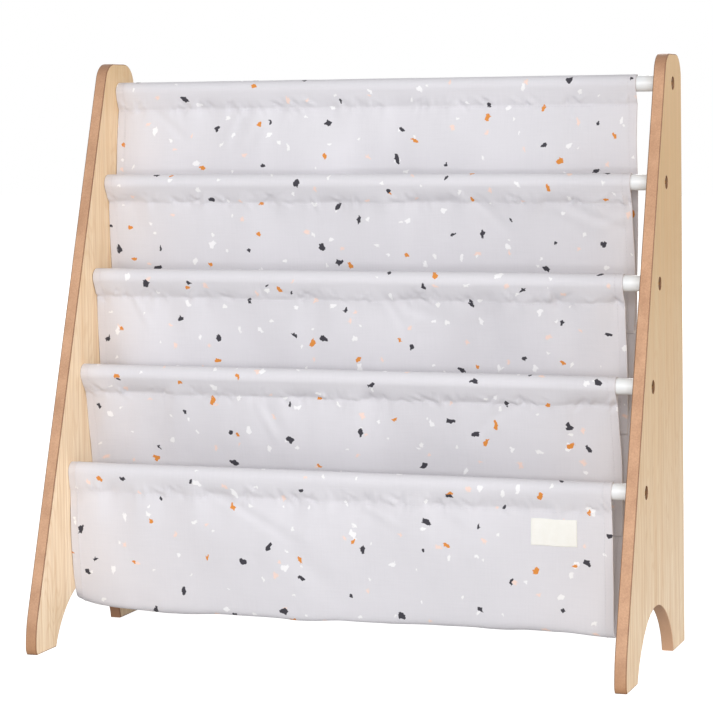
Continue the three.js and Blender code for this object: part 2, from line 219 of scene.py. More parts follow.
def makeCanvas():
    material, tree = newMaterial("printedCottonCanvas")
    place = addNode(tree, "Attribute", attribute_name="clothPlace").outputs["Vector"]
    long, wide = 1 / (canvas["slubLength"] * mm), 1 / (canvas["slubWidth"] * mm)
    slubs = [noise(tree, stretched(tree, place, scale), 1, 2, dimensions="2D")["Fac"]
             for scale in ((long, wide, 1), (wide, long, 1))]
    slub = maths(tree, "ADD", *slubs)
    mottle = noise(tree, place, canvas["mottleScale"], 3, dimensions="2D")["Fac"]
    shade = maths(tree, "MULTIPLY", ramp(tree, slub, 0.75, 1.3), mottle)
    colour = blend(tree, shade, canvas["ground"], canvas["slub"])
    # the hem's band is tinted darker as painted shade, for the light that two layers hold back
    hemShadeBand = addNode(tree, "Attribute", attribute_name="hemShadeBand").outputs["Fac"]
    colour = blend(tree, maths(tree, "MULTIPLY", hemShadeBand, canvas["hemShadeShare"]), colour, canvas["hemShadeTint"])
    ragged = noise(tree, place, canvas["raggedScale"], 1, dimensions="2D")["Color"]
    ragged = vectorMaths(tree, "MULTIPLY", ragged, (canvas["ragged"] * mm, canvas["ragged"] * mm, 0))
    raggedPlace = vectorMaths(tree, "ADD", place, ragged)
    for chip in chips:
        colour = addChips(tree, raggedPlace, chip, colour)
    threads = maths(tree, "MULTIPLY", weave(tree, place, canvas["weave"]), canvas["weaveRelief"])
    relief = maths(tree, "MULTIPLY_ADD", slub, canvas["slubRelief"], threads)
    addSurface(tree, colour, canvas["roughness"], (relief, 0.2, 0.1),
               {"Sheen Weight": 0.08, "Sheen Roughness": 0.5})
    return material


# Thread, spun polyester in the cloth's own tone, with a slight lustre
def makeThread():
    material, tree = newMaterial("spunPolyesterThread")
    twist = noise(tree, addNode(tree, "TexCoord").outputs["Object"], 1400, 1)["Fac"]
    colour = blend(tree, twist, "#ccc9d0", "#dbd9de")
    addSurface(tree, colour, 0.6, (twist, 0.4, 0.1), {"Sheen Weight": 0.1})
    return material


# Woven cotton tape, off-white and close, for the blank label
def makeTape():
    material, tree = newMaterial("wovenCottonTape")
    place = addNode(tree, "Attribute", attribute_name="clothPlace").outputs["Vector"]
    tone = noise(tree, place, 160, 3, dimensions="2D")["Fac"]
    colour = blend(tree, tone, "#f6f5f0", "#f0eee7")
    addSurface(tree, colour, 0.85, (weave(tree, place, 0.8), 0.2, 0.08), {"Sheen Weight": 0.05})
    return material


# Pale wood veneer under satin lacquer: fine upright grain, faint arched figure, a soft even gloss
veneer = {
    "pale": "#ffe9ca",
    "deepToneAndPaintedShade": "#caa56b",
    "grain": "#c59766",
    "streak": "#dfb27c",
    "figure": "#cf9f66",
    "grainWidth": 1.5,
    "grainLength": 110,
    "grainShare": 0.62,
    "streakWidth": 7,
    "streakLength": 400,
    "figureWidth": 9,
    "figureSway": 14,
}


def makeVeneer():
    material, tree = newMaterial("lacqueredWoodVeneer")
    place = addNode(tree, "TexCoord").outputs["Object"]
    x, y, z = addNode(tree, "SeparateXYZ", {0: place}).outputs
    fineScale = (8, 1 / (veneer["grainWidth"] * mm), 1 / (veneer["grainLength"] * mm))
    broadScale = (5, 1 / (veneer["streakWidth"] * mm), 1 / (veneer["streakLength"] * mm))
    grain = noise(tree, stretched(tree, place, fineScale), 1, 4, 0.6)["Fac"]
    streaks = noise(tree, stretched(tree, place, broadScale), 1, 3, 0.7)["Fac"]
    sway = noise(tree, stretched(tree, place, (9, 24, 5.5)), 1, 2)["Fac"]
    bands = maths(tree, "MULTIPLY", y, 1 / (veneer["figureWidth"] * mm))
    swayed = maths(tree, "MULTIPLY_ADD", sway, veneer["figureSway"], bands)
    rings = maths(tree, "SINE", maths(tree, "MULTIPLY", swayed, 2 * math.pi))
    # the veneer darkens towards the top, most near the top edge and more on the right board: the right
    # board's own deeper tone, and painted shade where less light reaches the upper boards
    rightward = ramp(tree, x, -0.3, 0.3, 0.34)
    deepToneAndPaintedShade = maths(tree, "MULTIPLY_ADD", rightward, ramp(tree, z, 0.06, 0.5), ramp(tree, z, 0.54, 0.6, 0, 0.4))
    colour = blend(tree, deepToneAndPaintedShade, veneer["pale"], veneer["deepToneAndPaintedShade"])
    colour = blend(tree, ramp(tree, streaks, 0.4, 0.75, 0, 0.5), colour, veneer["streak"])
    grainShare = maths(tree, "MULTIPLY", ramp(tree, grain, 0.4, 0.75), veneer["grainShare"])
    colour = blend(tree, grainShare, colour, veneer["grain"])
    colour = blend(tree, ramp(tree, rings, 0.2, 1, 0, 0.2), colour, veneer["figure"])
    addSurface(tree, colour, ramp(tree, grain, 0, 1, 0.38, 0.5), (grain, 0.15, 0.1),
               {"Coat Weight": 0.15, "Coat Roughness": 0.25})
    return material


# The boards' sawn and sanded edges, lacquered: end fibres make a fine pinkish mottle
def makeSawnEdge(name, light, dark):
    material, tree = newMaterial(name)
    place = addNode(tree, "TexCoord").outputs["Object"]
    x, y, z = addNode(tree, "SeparateXYZ", {0: place}).outputs
    fibres = noise(tree, place, 620, 4, 0.65)["Fac"]
    both = maths(tree, "ADD", fibres, noise(tree, place, 45, 2)["Fac"])
    colour = blend(tree, ramp(tree, both, 0.75, 1.25), dark, light)
    # end grain over the top drinks more lacquer and is darker; the front of the toes also darkens towards
    # the floor
    colour = blend(tree, ramp(tree, z, 0.576, 0.597, 0, 0.7), colour, "#8a6247")
    toe = maths(tree, "MULTIPLY", ramp(tree, z, 0.05, 0, 0, 0.5), ramp(tree, y, -0.085, -0.1))
    colour = blend(tree, toe, colour, "#a5764f")
    # the arches' insides are painted: darker on the left board as painted shade, lighter on the right board
    # as painted light
    archPaintedMask = maths(tree, "MULTIPLY", ramp(tree, z, 0.066, 0.05), ramp(tree, y, -0.02, 0.01))
    archPaintedShadeAndLight = blend(tree, ramp(tree, x, -0.3, 0.3), "#946b50", "#e0b593")
    colour = blend(tree, maths(tree, "MULTIPLY", archPaintedMask, 0.75), colour, archPaintedShadeAndLight)
    addSurface(tree, colour, 0.55, (fibres, 0.25, 0.15), {"Coat Weight": 0.08, "Coat Roughness": 0.3})
    return material


# Satin white paint over a turned dowel: brush drag along the dowel shows as faint streaks
def makePaint():
    material, tree = newMaterial("satinWhitePaint")
    place = addNode(tree, "TexCoord").outputs["Object"]
    streaks = noise(tree, stretched(tree, place, (14, 520, 520)), 1, 3)["Fac"]
    addSurface(tree, blend(tree, streaks, "#f1f5f9", "#ecf1f6"), 0.36, (streaks, 0.12, 0.1))
    return material


# Metal that was turned and plated or left bright: turning marks and light handling wear
def makeMetal(name, light, dark, roughness):
    material, tree = newMaterial(name)
    place = addNode(tree, "TexCoord").outputs["Object"]
    turning = noise(tree, stretched(tree, place, (3500, 260, 260)), 1, 2)["Fac"]
    wear = noise(tree, place, 900, 3)["Fac"]
    gloss = ramp(tree, wear, 0, 1, roughness - 0.08, roughness + 0.12)
    addSurface(tree, blend(tree, wear, dark, light), gloss, (turning, 0.15, 0.05), {"Metallic": 1})
    return material


canvasMaterial = makeCanvas()
threadMaterial = makeThread()
tapeMaterial = makeTape()
veneerMaterial = makeVeneer()
edgeMaterial = makeSawnEdge("sandedBoardEdge", "#cfa17e", "#b58867")
# dark eased corners of the boards, also used in the counterbores as painted shade
cornerAndHoleShadeMaterial = makeSawnEdge("darkBoardCornerAndPaintedHoleShade", "#96704f", "#835c40")
paintMaterial = makePaint()
boltMaterial = makeMetal("bronzePlatedSteel", "#a2744a", "#5e422b", 0.44)
steelMaterial = makeMetal("brightSteel", "#c2c0b8", "#a3a19a", 0.34)
print("materials made")


def boxOf(node):
    return [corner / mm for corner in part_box(node)]


# Sizes of the frame, in millimetres
boardLow, boardHigh = boxOf("right_side_board")
clothLow, clothHigh = boxOf("main_cloth")
rodBoxes = [boxOf(f"rod_{number}") for number in range(1, 6)]
rodCentres = [((low + high) / 2).yz for low, high in rodBoxes]
rodRadius = (rodBoxes[0][1].z - rodBoxes[0][0].z) / 2
rodStepY = rodCentres[0][0] - rodCentres[1][0]
sideNames = {-1: "left", 1: "right"}


def addPiece(name, mesh, materials, slot, *replaced):
    for material in materials:
        mesh.materials.append(material)
    piece = bpy.data.objects.new(name, mesh)
    bpy.context.scene.collection.objects.link(piece)
    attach(piece, "root")
    if replaced:
        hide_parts(*replaced)
    return piece


def toMesh(name, points, faces):
    mesh = bpy.data.meshes.new(name)
    mesh.from_pydata((np.asarray(points) * mm).tolist(), [], [list(map(int, face)) for face in faces])
    mesh.polygons.foreach_set("use_smooth", [True] * len(mesh.polygons))
    mesh.update()
    return mesh


# Side boards: cut from board, sanded, with stepped holes for the bolts
board = {
    "topDepth": 67,
    "lean": math.radians(18.3),
    "topFrontRadius": 22,
    "topBackRadius": 24,
    "toeRadius": 110,
    "toeCornerRadius": 10,
    "toeTipHeight": 7,
    "rearFootDepth": 54,
    "archSpan": 156.5,
    "archRise": 59,
    "archFrontHandles": (0.14, 0.51, 0.55, 1),
    "archRearHandles": (0.06, 0.5, 0.5, 1),
    "archSteps": 22,
    "arcSteps": (16, 14, 12, 6),  # of the top's back and front corners, the toe and its tip
    "easedEdge": 1,
    "easedSteps": 3,
    "holeDiameter": 6.6,
    "counterbore": 13,
    "counterboreDepth": 4,
    "rimChamfer": 0.4,
    "holeSides": 40,
    "sharpAngle": 50,
}


def bezier(p0, p1, p2, p3, steps):
    t = np.linspace(0, 1, steps + 1).reshape(-1, *[1] * p0.ndim)
    return (1 - t) ** 3 * p0 + 3 * (1 - t) ** 2 * t * p1 + 3 * (1 - t) * t ** 2 * p2 + t ** 3 * p3


def arcPoints(y, z, radius, start, end, steps):
    angles = np.linspace(start, end, steps + 1)
    return np.stack([y + radius * np.cos(angles), z + radius * np.sin(angles)], -1)


# Counterclockwise as seen from the right, from the front foot's arch
def boardOutline():
    height, back, front = boardHigh.z, boardHigh.y, boardLow.y
    lean = board["lean"]
    archRear = back - board["rearFootDepth"]
    archFront = archRear - board["archSpan"]
    half, rise = board["archSpan"] / 2, board["archRise"]

    def halfArch(foot, way, handles):
        a, b, c, d = handles
        corners = ((0, 0), (a, b), (c, d), (1, 1))
        return [np.array((foot + way * along * half, up * rise)) for along, up in corners]

    topFront, topBack = board["topFrontRadius"], board["topBackRadius"]
    toe, toeCorner, tip = board["toeRadius"], board["toeCornerRadius"], board["toeTipHeight"]
    backSteps, frontSteps, toeSteps, tipSteps = board["arcSteps"]
    tangent = topFront * math.tan((math.pi / 2 - lean) / 2)
    topFrontCentre = back - board["topDepth"] + tangent
    tipTurn = math.asin(tip / toeCorner)
    runs = [
        bezier(*halfArch(archFront, 1, board["archFrontHandles"]), board["archSteps"]),
        bezier(*halfArch(archRear, -1, board["archRearHandles"])[::-1], board["archSteps"])[1:],
        [(back, 0)],
        arcPoints(back - topBack, height - topBack, topBack, 0, math.pi / 2, backSteps),
        arcPoints(topFrontCentre, height - topFront, topFront, math.pi / 2, math.pi - lean, frontSteps),
        arcPoints(front + toe, tip, toe, math.pi - lean, math.pi, toeSteps),
        arcPoints(front + toeCorner, tip, toeCorner, math.pi, math.pi + tipTurn, tipSteps)[1:],
    ]
    return np.concatenate([np.asarray(run, float) for run in runs])


# The outline moved inwards by a distance, corners mitred
def inset(outline, distance):
    ahead = np.roll(outline, -1, 0) - outline
    ahead /= np.linalg.norm(ahead, axis=1)[:, None]
    behind = np.roll(ahead, 1, 0)
    inward = np.stack([-ahead[:, 1], ahead[:, 0]], -1)
    inwardBehind = np.stack([-behind[:, 1], behind[:, 0]], -1)
    middle = inward + inwardBehind
    middle /= (middle * inward).sum(1)[:, None]
    return outline + middle * distance


def makeBoard(side):
    outline = boardOutline()
    inner, outer = side * boardLow.x, side * boardHigh.x
    eased = board["easedEdge"]
    turns = np.linspace(0, math.pi / 2, board["easedSteps"] + 1)
    mesh = bmesh.new()

    def loopAt(x, points):
        return [mesh.verts.new((x * mm, y * mm, z * mm)) for y, z in points]

    def bridge(a, b, kind):
        for i in range(len(a)):
            j = (i + 1) % len(a)
            face = mesh.faces.new((a[i], a[j], b[j], b[i]))
            face.material_index = kind
            face.smooth = True

    def rim(loop):
        return [mesh.edges.get(pair) or mesh.edges.new(pair) for pair in zip(loop, loop[1:] + loop[:1])]

    def easedLoops(x, way):
        return [loopAt(x + way * eased * (1 - math.sin(t)), inset(outline, eased * (1 - math.cos(t))))
                for t in turns]

    innerLoops, outerLoops = easedLoops(inner, side), easedLoops(outer, -side)
    bridge(innerLoops[0], outerLoops[0], 1)
    for loops in (innerLoops, outerLoops):
        for a, b in zip(loops, loops[1:]):
            bridge(a, b, 2)
    holeRims = {inner: [], outer: []}
    hole, sunk, chamfer = board["holeDiameter"] / 2, board["counterbore"] / 2, board["rimChamfer"]
    floorX = outer - side * board["counterboreDepth"]
    for centre in rodCentres:
        steps = (
            (hole + chamfer, inner),
            (hole, inner + side * chamfer),
            (hole, floorX),
            (sunk, floorX),
            (sunk, outer - side * chamfer),
            (sunk + chamfer, outer),
        )
        rings = [loopAt(x, arcPoints(*centre, radius, 0, 2 * math.pi, board["holeSides"])[:-1])
                 for radius, x in steps]
        # the counterbore's floor, wall and outer chamfer take the dark corner material: painted shade in the
        # recess
        for a, b, kind in zip(rings, rings[1:], (1, 1, 2, 2, 2)):
            bridge(a, b, kind)
        holeRims[inner] += rim(rings[0])
        holeRims[outer] += rim(rings[-1])
    for x, loops in ((inner, innerLoops), (outer, outerLoops)):
        made = bmesh.ops.triangle_fill(mesh, use_beauty=True, use_dissolve=False,
                                       edges=rim(loops[-1]) + holeRims[x])
        for face in made["geom"]:
            if isinstance(face, bmesh.types.BMFace):
                face.smooth = True
    bmesh.ops.recalc_face_normals(mesh, faces=mesh.faces)
    data = bpy.data.meshes.new(sideNames[side] + "_board_wood")
    mesh.to_mesh(data)
    mesh.free()
    materials = [veneerMaterial, edgeMaterial, cornerAndHoleShadeMaterial]
    piece = addPiece(data.name, data, materials, "board", sideNames[side] + "_side_board")
    data.set_sharp_from_angle(angle=math.radians(board["sharpAngle"]))
    weights = piece.modifiers.new("evenShading", "WEIGHTED_NORMAL")
    weights.keep_sharp = True


for side in (-1, 1):
    makeBoard(side)
print("boards made")

axisRadius = 0.05  # stands for the axis in a turned profile
mergeReach = 0.02  # points of a turned mesh closer than this become one
edgeShare = 0.3  # where the middle ring of a rounded edge lies


# Solid turned about a line along X. The profile gives places along it, each with one radius or one for
# every side. A closed profile ends where it began.
def turnedMesh(name, profile, centre, sides, closed):
    angles = np.linspace(0, 2 * math.pi, sides, endpoint=False)
    points, faces = [], []
    for along, radius in profile:
        points.append(np.stack([
            np.full(sides, along),
            centre[0] + radius * np.cos(angles),
            centre[1] + radius * np.sin(angles),
        ], -1))
    count = len(profile)
    for i in range(count if closed else count - 1):
        a, b = i * sides, (i + 1) % count * sides
        for j in range(sides):
            k = (j + 1) % sides
            faces.append((a + j, a + k, b + k, b + j))
    mesh = toMesh(name, np.concatenate(points), faces)
    bm = bmesh.new()
    bm.from_mesh(mesh)
    bmesh.ops.remove_doubles(bm, verts=bm.verts, dist=mergeReach * mm)
    bmesh.ops.holes_fill(bm, edges=[e for e in bm.edges if e.is_boundary], sides=0)
    bmesh.ops.recalc_face_normals(bm, faces=bm.faces)
    bm.to_mesh(mesh)
    bm.free()
    return mesh


# Dowels: turned, painted, with a bore for an insert at each end
dowel = {"chamfer": 0.9, "bore": 9.6, "boreDepth": 20.3, "sides": 56, "sharpAngle": 50}


def makeDowel(number):
    low, high = rodBoxes[number - 1]
    bore, chamfer = dowel["bore"] / 2, dowel["chamfer"]
    ends = [[
        (end + sign * dowel["boreDepth"], axisRadius),
        (end + sign * dowel["boreDepth"], bore),
        (end, bore),
        (end, rodRadius - chamfer),
        (end + sign * chamfer * edgeShare, rodRadius - chamfer * edgeShare),
        (end + sign * chamfer, rodRadius),
    ] for end, sign in ((low.x, 1), (high.x, -1))]
    profile = ends[0] + ends[1][::-1]
    mesh = turnedMesh(f"dowel_{number}", profile, rodCentres[number - 1], dowel["sides"], True)
    addPiece(mesh.name, mesh, [paintMaterial], "rod", f"rod_{number}")
    mesh.set_sharp_from_angle(angle=math.radians(dowel["sharpAngle"]))


for number in range(1, 6):
    makeDowel(number)
print("dowels made")

# Bolts: flat round heads with a hexagon socket, below the boards' faces
bolt = {
    "head": 11.6,
    "headHeight": 2.8,
    "edge": 0.6,
    "shank": 6,
    "tipChamfer": 0.8,
    "socket": 4,
    "socketDepth": 1.8,
    "socketLip": 0.9,  # round ring outside the socket's corners
    "leadIn": 0.2,
    "leadInDepths": (0.25, 0.55),
    "sides": 48,
    "sharpAngle": 35,
}


def makeBolt(side, number):
    node = f"{sideNames[side]}_bolt_{number}"
    low, high = boxOf(node)
    face, tip = (high.x, low.x) if side > 0 else (low.x, high.x)
    seat = face - side * bolt["headHeight"]
    floor = face - side * bolt["socketDepth"]
    head, shank, edge = bolt["head"] / 2, bolt["shank"] / 2, bolt["edge"]
    leadTop, leadEnd = [face - side * depth for depth in bolt["leadInDepths"]]
    # the socket's rings follow a hexagon
    angles = np.linspace(0, 2 * math.pi, bolt["sides"], endpoint=False)
    corner = bolt["socket"] / 2 / math.cos(math.pi / 6)
    hexagon = bolt["socket"] / 2 / np.cos((angles + math.pi / 6) % (math.pi / 3) - math.pi / 6)
    profile = [
        (tip, axisRadius),
        (tip, shank - bolt["tipChamfer"]),
        (tip + side * bolt["tipChamfer"], shank),
        (seat, shank),
        (seat, head),
        (face - side * edge, head),
        (face - side * edge * edgeShare, head - edge * edgeShare),
        (face, head - edge),
        (face, corner + bolt["socketLip"]),
        (leadTop, hexagon + bolt["leadIn"]),
        (leadEnd, hexagon),
        (floor, hexagon),
        (floor, axisRadius),
    ]
    name = f"{sideNames[side]}_bronze_bolt_{number}"
    mesh = turnedMesh(name, profile, rodCentres[number - 1], bolt["sides"], False)
    addPiece(name, mesh, [boltMaterial], "bolt", node)
    mesh.set_sharp_from_angle(angle=math.radians(bolt["sharpAngle"]))


for side in (-1, 1):
    for number in range(1, 6):
        makeBolt(side, number)
        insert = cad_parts[f"{sideNames[side]}_insert_{number}"]
        insert.data.materials.clear()
        insert.data.materials.append(steelMaterial)
print("bolts made")


# Cloth. Lines across the shelf are kept as arrays of rows by columns, each point (y, z) in millimetres.
cloth = {
    "thickness": 1.0,
    "sleeveGap": 0.3,  # between the dowel and the sleeve
    "layerGap": 0.12,  # between a sleeve's layers at its seam
    "sewnGap": 0.1,  # between a pocket's sewn edge and the main cloth
    "seamDrop": 20,
    "seamForward": (0.02, -0.14, -0.14, -0.17, 0.08),  # of the seam's drop, for each dowel
    "allowance": 4,
    "belly": 0.14,  # radians
    "rearTuck": 2.8,  # how much further in a sleeve's back layer ends at the right
    "rightEnds": (-3.2, 1.2),  # of the main cloth, as for the pockets below
    "pocketDepth": 145,
    "foldDepth": 2.6,
    "foldCount": 2.4,
    "cornerLift": 12,
    "cornerLiftReach": 50,
    "hem": 8.5,
    "hemStitch": 0.9,  # how far outside the hem's inner edge its stitches lie
    # the hem's tint is painted shade
    "hemBlur": 0.8,  # the width over which the hem's tint fades
    "grooveDepth": 0.16,  # along the hem's stitches
    "hemWave": 0.18,
    "edgeWander": 0.45,
    "edgeWanderReach": 30,
    "pastLeft": 0.2,  # how far the left edge may reach past its solid's
    "columnStep": 2.6,
    "rowStep": 3.2,
    "seamRowStep": 2.1,
    "seamReach": 26,  # how far from a seam the rows lie closer
    "hiddenRowStep": 7.6,
    "hidden": (105, 190),  # further than this from its top and low seams, the main cloth hardly shows
}
left, right = clothLow.x, clothHigh.x
hem = cloth["hem"]
hemPlaces = np.array([0, 0.5, 1.4, 2.8, 4.6, 6.2, 7.2, 7.8, 8.4, 9.0, 9.8, 11.2, 13.4]) * hem / 8.5
inside = np.arange(left + 2 * hem, right - 2 * hem, cloth["columnStep"])
xs = np.concatenate([left + hemPlaces, inside, (right - hemPlaces)[::-1]])
across = (xs - left) / (right - left)
frontRows, overRows = 9, 14  # of a sleeve, from the seam to the dowel and over it
behindRows, allowanceRows = 5, 2  # down behind to the seam again, and folded in below it
foldedRows = behindRows + allowanceRows


def foldAt(phase):
    return cloth["foldDepth"] * np.sin(2 * math.pi * (cloth["foldCount"] * across + phase))


def square(vectors):
    return np.stack([-vectors[..., 1], vectors[..., 0]], -1)


def unit(vectors):
    return vectors / np.linalg.norm(vectors, axis=-1, keepdims=True)


def lengthsAlong(rows):
    steps = np.linalg.norm(np.diff(rows, axis=0), axis=-1)
    return np.concatenate([np.zeros((1, rows.shape[1])), np.cumsum(steps, 0)])


# What each column of a field holds at a length along it. wanted is one length or one for each column.
def sampled(field, lengths, wanted):
    wanted = np.broadcast_to(wanted, lengths.shape[1])
    return np.stack([[np.interp(wanted[c], lengths[:, c], field[:, c, axis]) for c in range(len(wanted))]
                     for axis in range(field.shape[-1])], -1)


def seamLine(rod):
    y, z = rodCentres[rod]
    forward = cloth["thickness"] / 2 + cloth["seamForward"][rod] * cloth["seamDrop"]
    return np.tile([y - forward, z - cloth["seamDrop"]], (len(xs), 1))


# From the front of the seam up, over the dowel and down behind, to the end of the folded-in allowance
def sleeveRows(rod, seam, down, allowanceEnd):
    centre = np.array(rodCentres[rod])
    radius = rodRadius + cloth["sleeveGap"] + cloth["thickness"] / 2
    back = square(down) * (cloth["thickness"] + cloth["layerGap"])
    rearSeam, rearEnd = seam + back, allowanceEnd + back

    def reach(point):
        gap = point - centre
        return np.arctan2(gap[:, 1], gap[:, 0]), np.arccos(radius / np.linalg.norm(gap, axis=1))

    # the stiff cloth leaves the dowel early and bellies out a little on its way to the seam
    frontAngle, frontReach = reach(seam)
    rearAngle, rearReach = reach(rearSeam)
    start = frontAngle - frontReach - cloth["belly"]
    end = rearAngle + rearReach + cloth["belly"] - 2 * math.pi
    turns = start + (end - start) * np.linspace(0, 1, overRows + 1)[:, None]
    over = centre + radius * np.stack([np.cos(turns), np.sin(turns)], -1)

    def belly(low, high, down, rows):
        middle = high + down * np.linalg.norm(low - high, axis=1)[:, None] / 2
        t = np.linspace(0, 1, rows + 1)[:, None, None]
        return (1 - t) ** 2 * low + 2 * (1 - t) * t * middle + t ** 2 * high

    t = np.linspace(0, 1, allowanceRows + 1)[1:, None, None]
    return np.concatenate([
        belly(seam, over[0], square(unit(over[0] - centre)), frontRows),
        over[1:],
        belly(rearSeam, over[-1], -square(unit(over[-1] - centre)), behindRows)[::-1][1:],
        rearSeam + (rearEnd - rearSeam) * t,
    ])


# The main cloth's line, placed as in the frame: which dowel, then shares of the dowels' step behind it and
# of a pocket's depth below it, then of the folds, of the lean from left to right, and of the lift of the
# left corner
mainRows = [
    (0, -0.22, 0.4, 0.6, -0.06, 0),
    (0, -0.27, 0.72, 1, 0, 0),
    (1, 0.66, 0.62, 0.7, 0.02, 0),
    (1, 0.44, 1, 0.4, 0.03, 0),
    (2, 0.55, 1, 0.4, 0.03, 0),
    (3, 0.9, 1, 0.6, 0, 0),
    (4, 0.93, 0.87, 0.8, -0.12, 0.6),
    (4, 0.82, 0.965, 0.8, -0.15, 1),
    (4, 0.56, 1, 0.8, -0.15, 1),
    (4, 0.3, 0.995, 0.8, -0.15, 1),
    (4, 0.21, 0.972, 0.8, -0.15, 0.9),
    (4, 0.16, 0.93, 0.8, -0.15, 0.7),
    (4, 0.06, 0.72, 0.9, -0.1, 0),
    (4, -0.08, 0.38, 0.5, -0.05, 0),
]
# The knots where the pockets hung from dowels 2, 3 and 4 are sewn on. The line's first knot is its top seam.
junctions = (4, 5, 6)
# Dips and rises of the lowest edge: place, width, height
lowEdgeWaver = (
    (-44, 30, -1.7), (13, 22, -1.1), (-150, 45, 0.5), (-232, 16, -0.9), (125, 60, 3.6), (196, 40, 6))


def mainKnots():
    lift = cloth["cornerLift"] * np.clip(1 - (xs - left) / cloth["cornerLiftReach"], 0, None) ** 2
    waver = sum(height * np.exp(-((xs - place) / width) ** 2) for place, width, height in lowEdgeWaver)
    knots = [seamLine(0)]
    for rod, behind, below, fold, rightward, lifted in mainRows:
        y = rodCentres[rod][0] + (behind + (2 * across - 1) * rightward) * rodStepY + fold * foldAt(rod / 5)
        z = rodCentres[rod][1] - below * cloth["pocketDepth"] + lifted * (lift + waver)
        knots.append(np.stack([y, z], -1))
    knots.append(seamLine(4))
    return np.array(knots)


# Centripetal Catmull-Rom curve through the knots
def throughKnots(knots, steps):
    first, last = 2 * knots[0] - knots[1], 2 * knots[-1] - knots[-2]
    padded = np.concatenate([[first], knots, [last]])
    gaps = np.linalg.norm(np.diff(padded, axis=0), axis=-1, keepdims=True) ** 0.5
    rows = []
    for i in range(len(knots) - 1):
        p0, p1, p2, p3 = padded[i:i + 4]
        d0, d1, d2 = gaps[i:i + 3]
        m1 = d1 * ((p1 - p0) / d0 - (p2 - p0) / (d0 + d1) + (p2 - p1) / d1)
        m2 = d1 * ((p2 - p1) / d1 - (p3 - p1) / (d1 + d2) + (p3 - p2) / d2)
        for t in np.arange(steps) / steps:
            rows.append(p1 + m1 * t + (3 * (p2 - p1) - 2 * m1 - m2) * t ** 2
                        + (2 * (p1 - p2) + m1 + m2) * t ** 3)
    return np.array(rows + [knots[-1]])


# Rows spaced as wanted: stepAt gives the spacing at each length along the cloth
def spacedRows(rows, stepAt):
    lengths = lengthsAlong(rows)
    mean = lengths.mean(1)
    fine = np.linspace(0, mean[-1], 2000)
    counts = np.concatenate([[0], np.cumsum(np.diff(fine) / stepAt((fine[1:] + fine[:-1]) / 2))])
    wanted = np.interp(np.linspace(0, counts[-1], int(counts[-1]) + 1), counts, fine) / mean[-1]
    return np.array([sampled(rows, lengths, share * lengths[-1]) for share in wanted])


knotSteps = 24
mainLine = throughKnots(mainKnots(), knotSteps)
mainLengths = lengthsAlong(mainLine)
mainTangents = unit(np.gradient(mainLine, axis=0))


# Smooth random numbers in -1..1, about one bump to each unit of x and y
def softNoise(x, y, seed):
    size = 97
    table = np.random.default_rng(seed).uniform(-1, 1, (size, size))
    cellX, cellY = np.floor(x).astype(int), np.floor(y).astype(int)
    partX, partY = x - cellX, y - cellY
    partX, partY = (part ** 3 * (part * (part * 6 - 15) + 10) for part in (partX, partY))

    def corner(i, j):
        return table[(cellY + j) % size, (cellX + i) % size]

    low = corner(0, 0) * (1 - partX) + corner(1, 0) * partX
    high = corner(0, 1) * (1 - partX) + corner(1, 1) * partX
    return low * (1 - partY) + high * partY


# Puckers and creases, in millimetres off the cloth's line
wrinkles = {
    "puckerDepth": 1.3,
    "puckerPitch": 16,
    "puckerReach": 9,
    "seamDepth": 0.15,
    "seamWidth": 1.8,
    "creases": 72,
    "creaseDepth": 1.7,
    "creaseLength": (8, 20),
    "creaseWidth": (1.7, 3.2),
    "longCreases": 4,
    "longDepth": 0.7,
    "longLength": (30, 60),
    "longWidth": (5, 9),
    "waveDepth": 3.4,
    "wavePitch": 62,
    "waveStretch": 2.4,  # how much longer the waves are than wide
    "heldReach": 32,  # from a seam, where the waves are held in
    "gatherDepth": 2.0,
    "gatherPitch": 27,
    "gatherReach": 70,
    "crumpleDepth": 0.22,
    "crumplePitch": 26,
    "sleeveLooseness": 0.3,
    "junctionReach": 16,
    "dowelReach": 14,
}
lowSeamSeed = 15
# Creases seen in the photo, by the seam's seed: place, length, angle, width, depth
dragLines = {
    lowSeamSeed: [
        ((-98, 17), 104, 0.48, 7, 1.1),
        ((-38, 68), 80, 0.8, 17, 1.2),
        ((-182, -5), 26, 0.62, 3.4, 0.9),
    ],
}


# A crease: a low ridge with a hollow on either side
def crease(x, down, place, length, angle, width, depth):
    dx, dy = x - place[0], down - place[1]
    along = dx * math.cos(angle) + dy * math.sin(angle)
    aside = -dx * math.sin(angle) + dy * math.cos(angle)
    profile = (1 - 1.4 * (aside / width) ** 2) * np.exp(-(aside / width) ** 2)
    return depth * profile * np.exp(-(along / (length / 2)) ** 2)


